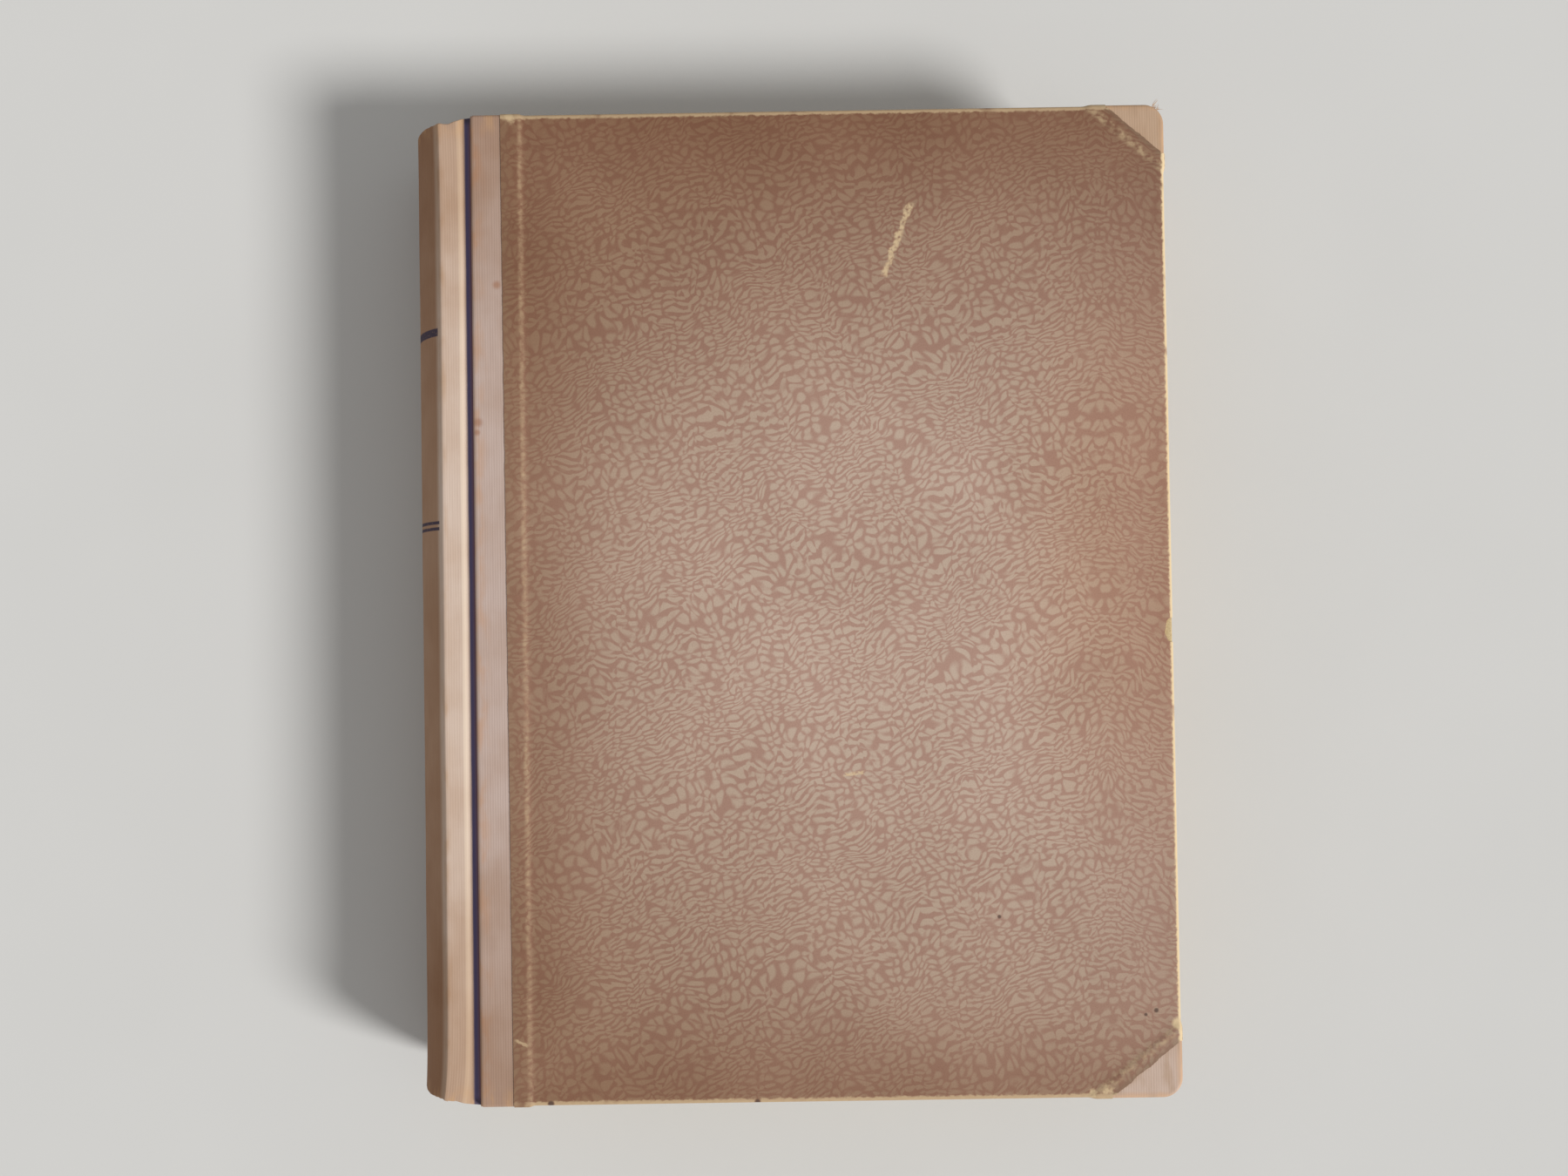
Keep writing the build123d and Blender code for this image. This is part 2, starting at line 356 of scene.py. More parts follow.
def side_paper_shape(seed, chips):
    """Decorated paper over one cover, cut along the joint cloth and across both corners."""
    joint = JOINT_X + PAPER_EDGE
    head_cut, tail_cut = (corner_line(corner, y_side, 0) for _, corner, y_side in CORNERS)
    step_outer, step_inner = 1.2, -0.3

    def lift(x, y):
        under_joint = ease(x - JOINT_X, CLOTH_EDGE + step_outer, CLOTH_EDGE + step_inner)
        return CLOTH * max(under_joint, ease(past_laps(x, y), -step_outer, -step_inner))

    creases = []
    for off in spread(step_outer, step_inner, 0.5):
        creases += [(JOINT_X + CLOTH_EDGE + off, y) for y in spread(2 - HEAD_Y, HEAD_Y - 2, 1.5)]
    for _, corner, y_side in CORNERS:
        for off in spread(step_outer, step_inner, 0.5):
            (ax, ay), (bx, by) = corner_line(corner, y_side, CORNER_LAP + off)
            creases += [
                (ax + (bx - ax) * t, ay + (by - ay) * t) for t in spread(0.06, 0.94, 0.04)
            ]

    def sway(x, y):
        edge = min(FORE_X - x, HEAD_Y - abs(y), x - joint + 2)
        return 0.05 * waver(x * 0.03, y * 0.03, seed) * ease(edge, 0, 12)

    tail_x, head_x = joint + 0.4, joint - 0.3
    runs = [[(x, -HEAD_Y, 0, -1) for x in spread(tail_x, tail_cut[0][0], EDGE_STEP)]]
    runs.append(ragged(tail_cut[0], tail_cut[1], TORN_STEP, 0.35, seed + 1)[1:-1])
    low = tail_cut[1][1]
    for bottom, top, depth in chips:
        runs.append([(FORE_X, y, 1, 0) for y in spread(low, bottom, EDGE_STEP)])
        notch = []
        for k in range(1, 14):
            t = k / 14
            bite = depth * sin(pi * t) ** 0.6 * (1 + 0.25 * waver(t * 6, 0, seed + 5))
            notch.append((FORE_X - EDGE_ROUND - bite, bottom + (top - bottom) * t))
        runs.append(notch)
        low = top
    runs.append([(FORE_X, y, 1, 0) for y in spread(low, head_cut[1][1], EDGE_STEP)])
    runs.append(ragged(head_cut[1], head_cut[0], TORN_STEP, 0.3, seed + 2)[1:-1])
    runs.append([(x, HEAD_Y, 0, 1) for x in spread(head_cut[0][0], head_x, EDGE_STEP)])
    runs.append(ragged((head_x, HEAD_Y), (tail_x, -HEAD_Y), EDGE_STEP, 0.12, seed + 3)[1:-1])
    return skin(runs, 2.6, lift, PAPER, sway, creases)


def corner_shape(corner, y_side, seed):
    """Cloth over a rounded corner, turned in whole on the board's inside."""
    start, end = corner_line(corner, 1, CORNER_LAP)
    rim = [(FORE_X, y, 1, 0) for y in spread(end[1], HEAD_Y - CORNER_ROUND, EDGE_STEP)][:-1]
    for k in range(15):
        a = pi / 2 * k / 14
        rim.append((
            FORE_X - CORNER_ROUND + CORNER_ROUND * cos(a),
            HEAD_Y - CORNER_ROUND + CORNER_ROUND * sin(a),
            cos(a), sin(a),
        ))
    rim += [(x, HEAD_Y, 0, 1) for x in spread(FORE_X - CORNER_ROUND, start[0], EDGE_STEP)][1:]
    cut = ragged(start, end, EDGE_STEP, 0.1, seed)[1:-1]

    def sway(x, y):
        return 0.03 * waver(x * 0.3, y * 0.3, seed)

    points, faces, flat = skin([rim, cut], 0.9, lambda x, y: 0, CLOTH, sway, whole_flap=True)
    if y_side < 0:
        points = [(x, -y, z) for x, y, z in points]
        flat = [(x, -y, z) for x, y, z in flat]
        faces = [face[::-1] for face in faces]
    return points, faces, flat


def rounded(corners):
    """Line through corners given as (x, z, radius), rounded and then cut into short steps."""
    line = []
    for k, (x, z, radius) in enumerate(corners):
        here = Vector((x, z))
        if radius == 0:
            line.append(here)
            continue
        before = (Vector(corners[k - 1][:2]) - here).normalized()
        after = (Vector(corners[k + 1][:2]) - here).normalized()
        half = before.angle(after) / 2
        centre = here + (before + after).normalized() * radius / sin(half)
        first = here + before * radius / tan(half) - centre
        side = -1 if before.x * after.y - before.y * after.x > 0 else 1
        sweep = side * (pi - 2 * half)
        for step in range(7):
            a = sweep * step / 6
            line.append(centre + Vector((
                first.x * cos(a) - first.y * sin(a), first.x * sin(a) + first.y * cos(a)
            )))
    steps = [line[0]]
    for a, b in zip(line, line[1:]):
        count = max(1, round((b - a).length / 0.6))
        steps += [a + (b - a) * k / count for k in range(1, count + 1)]
    return steps


def hinge_line():
    """Section of the hinge cloth: over the board, down the groove, over the ridge, round half the back."""
    top = TOP + CLOTH - MIDDLE
    corners = [
        (CLOTH_EDGE, top, 0), (-CLOTH, top, 0.9), (-CLOTH, GROOVE_FLOOR, 0.3),
        (-1.5, GROOVE_FLOOR + 0.02, 0.5), (-3.4, 18.35, 2.0), (*RIDGE, 0.9),
    ]
    start = Vector((RIDGE[0] - ARC_X, RIDGE[1]))
    sweep = start.angle(Vector((-1, 0)))
    for k in range(30):
        a = sweep * (1 - (0.1 + 0.9 * k / 29))
        corners.append((ARC_X - CLOTH_RADIUS * cos(a), CLOTH_RADIUS * sin(a), 0))
    return rounded(corners)


HINGE = hinge_line()
HINGE_LENGTHS = [0.0]
for a, b in zip(HINGE, HINGE[1:]):
    HINGE_LENGTHS.append(HINGE_LENGTHS[-1] + (b - a).length)
# a length along it that lies on the board's joint edge
DOWN_EDGE = 14


def hinge_length(x, beyond):
    """Length along the hinge line, beyond a given length, at which it first reaches x."""
    for place, length in zip(HINGE, HINGE_LENGTHS):
        if place.x <= x and length > beyond:
            return length
    return HINGE_LENGTHS[-1]


def end_bend(lip, fold):
    """Rows round one end of the hinge cloth, from its turned-in edge out to its face.

    Each is an inset from the end, a depth under the face, and 1 where the cloth is turned in."""
    quarter = [pi / 8 * k for k in range(5)]
    rows = [(lip + TURN_IN * share, fold, 1) for share in (0.8, 0.4)]
    rows += [(lip - lip * cos(a), fold - lip + lip * sin(a), 1) for a in quarter[::-1]]
    rows += [(lip - lip * cos(a), lip - lip * sin(a), 0) for a in quarter]
    return rows


def hinge_cloth_shape(seed):
    """One half of the hinge cloth, from the back's middle to under the paper, with both ends turned in."""
    bend_start, bend_end = hinge_length(BEND_START, 0), hinge_length(GROOVE_FOOT, 0)
    under_board = Vector((BEND_START, HINGE[0].y - BOARD_FOLD))
    under_groove = Vector((GROOVE_FOOT, GROOVE_FLOOR - GROOVE_FOLD))
    points, flat = [], []
    for k, place in enumerate(HINGE):
        ahead = HINGE[min(k + 1, len(HINGE) - 1)] - HINGE[max(k - 1, 0)]
        ahead.normalize()
        inward = Vector((-ahead.y, ahead.x))
        if k == len(HINGE) - 1:
            inward = Vector((1, 0))
        x, z, length = place.x, place.y, HINGE_LENGTHS[k]
        on_board = ease(x, -0.5, 0.3)
        on_back = ease(x, RIDGE[0] + 0.8, RIDGE[0] - 0.8)
        in_groove = ease(x, -3.6, -2.6) * (1 - on_board)
        fold = RIDGE_FOLD + on_board * (BOARD_FOLD - RIDGE_FOLD) + on_back * (BACK_FOLD - RIDGE_FOLD)
        fold -= in_groove * (RIDGE_FOLD - GROOVE_FOLD)
        if GROOVE_FOOT <= x < BEND_START:
            # here the turn-in runs level past the board's joint edge
            share = (length - bend_start) / (bend_end - bend_start)
            inward = (under_board.lerp(under_groove, share) - place) / fold
        edge = SPINE_HALF + (HEAD_Y + CLOTH - SPINE_HALF) * ease(x, RIDGE[0] + 1.2, 0)
        loose = ease(x, -1.6, -3.5)
        dip = 0.35 * exp(-((x + 6.2) / 1.2) ** 2)
        worn = loose * (0.22 * waver(length * 0.5, 3, seed) + 0.1 * waver(length * 1.7, 1, seed))
        head = edge - dip - worn - 0.12 * loose
        tail = -edge + 0.35 * loose * abs(waver(length * 0.4, 9, seed)) + worn
        lip = min(fold, BACK_FOLD) / 2
        bend = end_bend(lip, fold)
        column = [(tail + inset, depth, -turned) for inset, depth, turned in bend]
        column += [(tail + lip + (head - tail - 2 * lip) * n / 100, 0, 0) for n in range(1, 100)]
        column += [(head - inset, depth, turned) for inset, depth, turned in bend[::-1]]
        for y, depth, turned in column:
            flare = loose * (1.3 * exp((-y - SPINE_HALF) / 8) + 0.35 * exp((y - SPINE_HALF) / 7))
            flare += loose * 0.14 * waver(y * 0.025, length * 0.03, seed + 4)
            depth += loose * 0.06 * waver(length * 0.1, y * 0.05, seed + 2)
            points.append((
                JOINT_X + x + inward.x * depth - flare * (1 - on_back * abs(1 - z / RIDGE[1])),
                y,
                MIDDLE + z + inward.y * depth,
            ))
            flat.append((length, turned * (2 * edge + fold - abs(y)) if turned else y, 0))
    return points, grid(len(HINGE), len(column)), flat


def pages_level(x, v):
    """Height of a leaf at x, for v from -1 at the back leaf to 1 at the front one."""
    return v * (BLOCK_HALF + SHOULDER_SLOPE * max(0, SHOULDER_FOOT - x) * v * v)


def leaf_rows():
    """Rows across the text block's thickness, three to a leaf, as (share, trim, leaf).

    The leaves are sewn in gatherings, each trimmed a little short by chance."""
    chance = Random(4)
    rows = [(-1, 0.1, 0)]
    for k in range(LEAVES):
        if k % GATHERING == 0:
            section = chance.uniform(0, 0.16)
        trim = section + chance.uniform(0, 0.1)
        if chance.random() < 0.06:
            trim += 0.25
        valley = 0.34 if k % GATHERING == 0 else 0.12
        for share, dip in ((0.0, valley), (0.35, 0), (0.75, 0)):
            if k or share:
                rows.append((-1 + 2 * (k + share) / LEAVES, trim + dip, k))
    rows.append((1, 0.1, LEAVES))
    return rows


def text_block_shape():
    """Sewn leaves with their edges showing, rounded back, shoulders and hollow fore-edge."""
    rows = leaf_rows()
    fore_radius = (BLOCK_HALF ** 2 + FORE_HOLLOW ** 2) / (2 * FORE_HOLLOW)
    shares = spread(-1, 0, 1 / 8) + spread(0, 1, 1 / 32)[1:]
    points = []
    for v, trim, leaf in rows:
        back = RIDGE[0]
        for _ in range(6):
            z = min(abs(pages_level(back, v)), PAGES_RADIUS - 1)
            back = ARC_X - sqrt(PAGES_RADIUS ** 2 - z * z)
        z = pages_level(BLOCK_FORE, v)
        hollow = sqrt(fore_radius ** 2 - z * z) - sqrt(fore_radius ** 2 - BLOCK_HALF ** 2)
        fore = BLOCK_FORE - hollow - trim
        half = LEAF_HALF - trim * 0.6
        across = [
            SHOULDER_FOOT + share * (fore - SHOULDER_FOOT if share > 0 else SHOULDER_FOOT - back)
            for share in shares
        ]
        loop = [(x, half - 0.05 * abs(waver(x * 0.05, leaf * 1.7, 1))) for x in across]
        for t in spread(1, -1, 1 / 30)[1:-1]:
            loop.append((fore - 0.08 * abs(waver(t * half * 0.03, leaf * 1.7, 2)), t * half))
        loop += [(x, -half + 0.05 * abs(waver(x * 0.05, leaf * 1.7, 3))) for x in across[::-1]]
        points += [(JOINT_X + x, y, MIDDLE + pages_level(x, v)) for x, y in loop]
    around, count = len(loop), len(shares)
    faces = tube(len(rows), around)
    for base in (0, (len(rows) - 1) * around):
        for k in range(count - 1):
            faces.append((base + k, base + k + 1, base + around - 2 - k, base + around - 1 - k))
        faces.append(tuple(base + k for k in range(count - 1, around - count + 1)))
    return points, faces, points


def sheet_shape(xs, ys, level):
    """Sheet of paper over a grid of places, from its level above the book's middle."""
    points = [(JOINT_X + x, y, MIDDLE + level(x, y)) for x in xs for y in ys]
    flat = [(x, y, 0) for x in xs for y in ys]
    return points, [face[::-1] for face in grid(len(xs), len(ys))], flat


def flyleaf_shape(seed):
    """First free leaf, lying on the text block and climbing its shoulder."""
    def level(x, y):
        rise = pages_level(x, 1) + 0.03
        return rise + 0.1 * ease(x, 20, 60) * abs(waver(x * 0.012, y * 0.014, seed))

    xs = spread(FOLD_X, SHOULDER_FOOT, 0.6) + spread(SHOULDER_FOOT, BLOCK_FORE - 0.1, 4)[1:]
    return sheet_shape(xs, spread(-LEAF_HALF + 0.08, LEAF_HALF - 0.08, 4), level)


def pastedown_shape(seed):
    """Leaf pasted inside a cover, sinking between the turned-in edges."""
    def level(x, y):
        place = JOINT_X + x
        off_paper = ease(min(FORE_X - place, HEAD_Y - abs(y)), *TURN_IN_STEP)
        off_joint = max(off_paper, ease(x, CLOTH_EDGE + 1.4, CLOTH_EDGE + 3))
        sunk = CLOTH_SINK * min(ease(past_laps(place, y), -1.4, -3), off_joint) + PAPER_SINK * off_paper
        return PASTED_LEVEL + sunk + 0.015 * waver(x * 0.03, y * 0.03, seed)

    xs = spread(0.9, FORE_X - JOINT_X - PASTED_MARGIN, PASTED_STEP)
    ys = spread(-HEAD_Y + PASTED_MARGIN, HEAD_Y - PASTED_MARGIN, PASTED_STEP)
    points, faces, flat = sheet_shape(xs, ys, level)
    return points, [face[::-1] for face in faces], flat


def fold_shape():
    """Endpaper across the joint, from the fold on the shoulder to the pasted-down leaf."""
    def level(x, y):
        slope = pages_level(x, 1) + 0.11
        pasted = PASTED_LEVEL + 0.01 + (CLOTH_SINK + PAPER_SINK) * ease(HEAD_Y - abs(y), *TURN_IN_STEP)
        return slope + (pasted - slope) * ease(x, -1.5, 0.9)

    ys = spread(-LEAF_HALF + 0.1, LEAF_HALF - 0.1, PASTED_STEP)
    return sheet_shape(spread(FOLD_X, 1.2, 0.3), ys, level)


def band_shape(y_side, seed):
    """Bead of wrapped thread along the end of the rounded back."""
    threads, rings, around = 62, 5, 12
    radius, reach = PAGES_RADIUS - 0.7, 0.74
    total = threads * rings
    points, flat = [], []
    for k in range(total + 1):
        a = reach * (2 * k / total - 1)
        size = 0.8 + 0.17 * abs(sin(pi * k / rings)) + 0.03 * waver(k * 0.2, 0, seed)
        for j in range(around):
            b = 2 * pi * j / around
            out = radius + size * cos(b)
            points.append((
                JOINT_X + ARC_X - out * cos(a),
                y_side * (LEAF_HALF + 0.68 + size * sin(b)),
                MIDDLE + out * sin(a),
            ))
            flat.append((k / total * threads, b, 0))
    faces = tube(total + 1, around)
    faces.append(tuple(range(around)))
    faces.append(tuple(range(total * around, (total + 1) * around)))
    return points, faces, flat


def fray_shape(seed):
    """Loose threads at a worn cloth corner."""
    chance = Random(seed)
    rings, around = 7, 6
    points, faces, flat = [], [], []
    a, radius = radians(52), CORNER_ROUND + 0.1
    root = Vector((
        FORE_X - CORNER_ROUND + radius * cos(a), HEAD_Y - CORNER_ROUND + radius * sin(a), TOP - 0.3
    ))
    for _ in range(13):
        a = radians(chance.uniform(15, 88))
        way = Vector((cos(a), sin(a), chance.uniform(-0.35, 0.3)))
        curl = Vector((-sin(a), cos(a), 0)) * chance.uniform(-0.5, 0.5)
        start = root + Vector((
            chance.uniform(-0.9, 0.7), chance.uniform(-0.8, 0.9), chance.uniform(-0.5, 0.5)
        ))
        length, size = chance.uniform(0.7, 2.0), chance.uniform(0.07, 0.13)
        faces += tube(rings, around, len(points))
        for k in range(rings):
            t = k / (rings - 1)
            centre = start + way * length * t + curl * length * t * t
            thin = size * (1 - 0.75 * t)
            for j in range(around):
                b = 2 * pi / around * j
                side = Vector((-sin(a) * cos(b), cos(a) * cos(b), sin(b)))
                points.append(tuple(centre + side * thin))
                flat.append((centre.x, centre.y, 0))
        faces.append(tuple(range(len(points) - around, len(points))))
    return points, faces, flat


def joined(item, other):
    """Adds another mesh's faces to an item's own."""
    shell = bmesh.new()
    shell.from_mesh(item.data)
    shell.from_mesh(other.data)
    shell.to_mesh(item.data)
    shell.free()
    bpy.data.objects.remove(other)
    return item


# Materials

def tone(red, green, blue):
    """Colour from the 0 to 255 values seen on a screen."""
    parts = [value / 255 for value in (red, green, blue)]
    return tuple(c / 12.92 if c <= 0.04045 else ((c + 0.055) / 1.055) ** 2.4 for c in parts) + (1,)


class Value:
    """One value in a material, with arithmetic that adds Math nodes."""

    def __init__(self, paint, socket):
        self.paint, self.socket = paint, socket

    def math(self, operation, *terms):
        return self.paint.node("ShaderNodeMath", {"operation": operation}, dict(enumerate(terms)))

    def __add__(self, other):
        return self.math("ADD", self, other)

    def __sub__(self, other):
        return self.math("SUBTRACT", self, other)

    def __rsub__(self, other):
        return self.math("SUBTRACT", other, self)

    def __mul__(self, other):
        return self.math("MULTIPLY", self, other)

    def __truediv__(self, other):
        return self.math("DIVIDE", self, other)

    def __rtruediv__(self, other):
        return self.math("DIVIDE", other, self)

    def __abs__(self):
        return self.math("ABSOLUTE", self)

    __radd__, __rmul__ = __add__, __mul__

    def least(self, other):
        return self.math("MINIMUM", self, other)

    def most(self, other):
        return self.math("MAXIMUM", self, other)

    def wave(self):
        return self.math("SINE", self)

    def part(self):
        return self.math("FRACT", self)

    def step(self, low, high):
        """Smooth step from 0 at low to 1 at high."""
        return self.paint.node(
            "ShaderNodeMapRange", {"interpolation_type": "SMOOTHSTEP"}, {0: self, 1: low, 2: high}
        )


class Paint:
    """Material whose nodes are added one expression at a time."""

    def __init__(self, name):
        self.material = bpy.data.materials.new(name)
        self.material.use_nodes = True
        self.tree = self.material.node_tree
        self.shader = self.tree.nodes["Principled BSDF"]

    def node(self, kind, settings, sockets, output=0):
        made = self.tree.nodes.new(kind)
        for key, value in settings.items():
            setattr(made, key, value)
        self.plug(made, sockets)
        return Value(self, made.outputs[output])

    def plug(self, node, sockets):
        """Links values to a node's inputs, and sets plain numbers and colours."""
        for key, value in sockets.items():
            if isinstance(value, Value):
                self.tree.links.new(value.socket, node.inputs[key])
            else:
                node.inputs[key].default_value = value

    def flat(self):
        """Flat place of the sheet or cloth, in millimetres."""
        return self.node("ShaderNodeAttribute", {"attribute_name": "flat"}, {}, "Vector")

    def solid(self):
        """Place in the piece, in millimetres."""
        place = self.node("ShaderNodeTexCoord", {}, {}, "Object")
        return self.node("ShaderNodeVectorMath", {"operation": "SCALE"}, {0: place, "Scale": 1 / MM})

    def vector(self, operation, first, second, output=0):
        return self.node("ShaderNodeVectorMath", {"operation": operation}, {0: first, 1: second}, output)

    def scaled(self, place, x, y, z=1):
        return self.vector("MULTIPLY", place, (x, y, z))

    def moved(self, place, x, y, z=0):
        return self.vector("ADD", place, (x, y, z))

    def axes(self, place):
        return [self.node("ShaderNodeSeparateXYZ", {}, {0: place}, k) for k in range(3)]

    def joined(self, x, y, z=0.0):
        return self.node("ShaderNodeCombineXYZ", {}, {0: x, 1: y, 2: z})

    def stirred(self, place, size, amount, source=None):
        """Place pushed about by soft noise, read at the place itself or at another source."""
        drift = self.cloud(source or place, size, 0.0, output="Color")
        drift = self.scaled(self.moved(drift, -0.5, -0.5), amount, amount, 0)
        return self.vector("ADD", place, drift)

    def cloud(self, place, size, detail=2.0, rough=0.5, output=0):
        """Soft noise about 0.5, with lumps of the given size."""
        return self.node(
            "ShaderNodeTexNoise", {},
            {"Vector": place, "Scale": 1 / size, "Detail": detail, "Roughness": rough}, output,
        )

    def mix(self, factor, first, second, blend="MIX"):
        return self.node(
            "ShaderNodeMix", {"data_type": "RGBA", "blend_type": blend}, {0: factor, 6: first, 7: second}, 2
        )

    def finish(self, colour, roughness, height=None, relief=0.1, specular=0.3):
        """Sends colour and roughness to the shader, and height in millimetres through a bump."""
        self.plug(
            self.shader, {"Base Color": colour, "Roughness": roughness, "Specular IOR Level": specular}
        )
        if height is not None:
            sockets = {"Strength": 1.0, "Distance": relief * MM, "Height": height}
            self.plug(self.shader, {"Normal": self.node("ShaderNodeBump", {}, sockets, "Normal")})
        return self.material


def near(value, centre, inner, outer):
    """1 within inner of a centre, fading to 0 at outer."""
    return abs(value - centre).step(outer, inner)


def spot(paint, x, y, place, size, soft=0.4):
    """Small round mark."""
    reach = paint.vector("DISTANCE", paint.joined(x, y), place + (0,), "Value")
    return reach.step(size * (1 + soft), size * (1 - soft))


def oval(paint, x, y, centre, half):
    """Distance from a centre, which is 1 on the oval with these half widths."""
    place = paint.joined((x - centre[0]) / half[0], (y - centre[1]) / half[1])
    return paint.vector("DISTANCE", place, (0, 0, 0), "Value")


def segment(x, y, start, end, width):
    """Thin mark between two places, tapering out at both ends."""
    (ax, ay), (bx, by) = start, end
    length = hypot(bx - ax, by - ay)
    ux, uy = (bx - ax) / length, (by - ay) / length
    along = (x - ax) * ux + (y - ay) * uy
    off = abs((y - ay) * ux - (x - ax) * uy)
    return off.step(width, width * 0.35) * along.step(-0.6, 0.8) * along.step(length + 0.6, length - 0.8)


def pebbles_and_rods(paint, place, front):
    """Pale cells of the decorated paper: pebbles in some places, rods along its streams in others."""
    x, y, _ = paint.axes(place)
    mirrored = paint.joined(SEAM_X - abs(x - SEAM_X), y if front else y + BACK_SHIFT)
    turned = paint.stirred(mirrored, 5, 3, place)
    px, py, _ = paint.axes(turned)
    right, up = -0.42, 0.91
    band = ((px * right + py * up) * (2 * pi / 44) + paint.cloud(turned, 26, 1) * 5).wave()
    streamed = paint.joined(px + band * (right * 1.9), py + band * (up * 1.9))
    streamed = paint.stirred(paint.stirred(streamed, 15, 6.5), 3, 1.1)
    px, py, _ = paint.axes(streamed)
    slant, stretch = radians(22), 1.2
    streamed = paint.joined(
        (px * cos(slant) + py * sin(slant)) / stretch, (py * cos(slant) - px * sin(slant)) * stretch
    )
    border, reach = (
        paint.node(
            "ShaderNodeTexVoronoi", {"voronoi_dimensions": "2D", "feature": feature},
            {"Vector": streamed, "Scale": 1 / PEBBLE, "Randomness": 0.8}, "Distance",
        )
        for feature in ("DISTANCE_TO_EDGE", "F1")
    )
    rods = paint.cloud(turned, 12, 1).step(0.42, 0.56)
    waves = 1.3
    worms = paint.node(
        "ShaderNodeTexGabor", {"gabor_type": "2D"},
        {
            "Vector": streamed, "Scale": 1 / ROD / waves, "Frequency": waves,
            "Anisotropy": rods * 0.7, "Orientation": pi / 2,
        },
        "Value",
    )
    pebble = (border.least(0.57 - reach) + (worms - 0.5) * 0.4).step(-0.02, 0.27)
    rod = (worms + (border - 0.12).least(0.1) * 1.1).step(0.42, 0.62)
    return pebble * (1 - rods) + rod * rods


def aged_and_shaded(paint, colour, x, y, broad):
    """Paper's colour browned towards its edges, most beside the joint, with painted shade darker away from
    a lit middle and towards the head.
    """
    rim = ((FORE_X - x) * 2 + 16).least(HEAD_Y - abs(y)).least(x - (JOINT_X + PAPER_EDGE))
    colour = paint.mix((rim + broad * 24).step(44, 0) * 0.5, colour, tone(212, 186, 150), "MULTIPLY")
    # painted shade: darker away from a lit middle, more towards the joint and the head
    painted_falloff = oval(paint, x, y, (20, 2), (150, 130)) + y * 0.001 - x * 0.0022 + (broad - 0.5) * 0.2
    colour = paint.mix(painted_falloff.step(0.15, 1.1), colour, tone(207, 191, 173), "MULTIPLY")
    # painted shade: darker towards the head
    colour = paint.mix(y.step(40, 112), colour, tone(240, 233, 228), "MULTIPLY")
    beside_edge = oval(paint, x, y, (88, 12), (42, 85)).step(1.15, 0.2)
    return paint.mix(beside_edge, colour, tone(248, 236, 224), "MULTIPLY")


def arris_wear(paint, place, x, y, rubbed):
    """Both arrises of the paper's folded edge, rubbed to its pale core."""
    scallop = paint.cloud(place, 1.1, 2)
    arris = abs(abs((FORE_X - x).least(HEAD_Y - abs(y)) + 1.5) - 1.4) - (scallop - 0.3) * 1.1
    fore_edge = (HEAD_Y - abs(y) - (FORE_X - x)).step(-3, 3)
    arris = arris + (fore_edge - 1) * 0.35
    return arris.step(0.65, 0.1) * rubbed.step(0.2, 0.42) * (fore_edge * 0.5 + 0.5)


def front_scuffs(paint, place, x, y, patchy, worn):
    """The front paper's wear with its scratches and scuffs, and with the nicks at the tail kept dark."""
    crumbled = paint.cloud(place, 0.9, 2)
    dragged = x + (paint.cloud(place, 2.6, 2) - 0.5) * 2.4
    shaken = y + (crumbled - 0.5)
    scratch = segment(dragged, y, (31.26, 99.0), (24.0, 80.9), 1.0) * crumbled.step(0.22, 0.62)
    scrape = segment(x, y, (12.2, -42.6), (17.5, -42.0), 0.6) * crumbled.step(0.36, 0.6)
    worn = worn.most(scratch.most(scrape) * 0.72)
    worn = worn.most(segment(x, shaken, (-69.6, -106.4), (-66.4, -108.0), 0.5) * 0.45)
    worn = worn.most(spot(paint, x, shaken, (93.4, -104.8), 1.3) * 0.9)
    for mark, size in PALE_SPOTS:
        scuff = spot(paint, x + (crumbled - 0.5) * 3, y + (patchy - 0.5) * 3, mark, size, 0.7)
        worn = worn.most(scuff * 0.75)
    for mark, _ in TAIL_NICKS:
        worn = worn * (1 - spot(paint, x, y, mark, 0.8))
    return worn


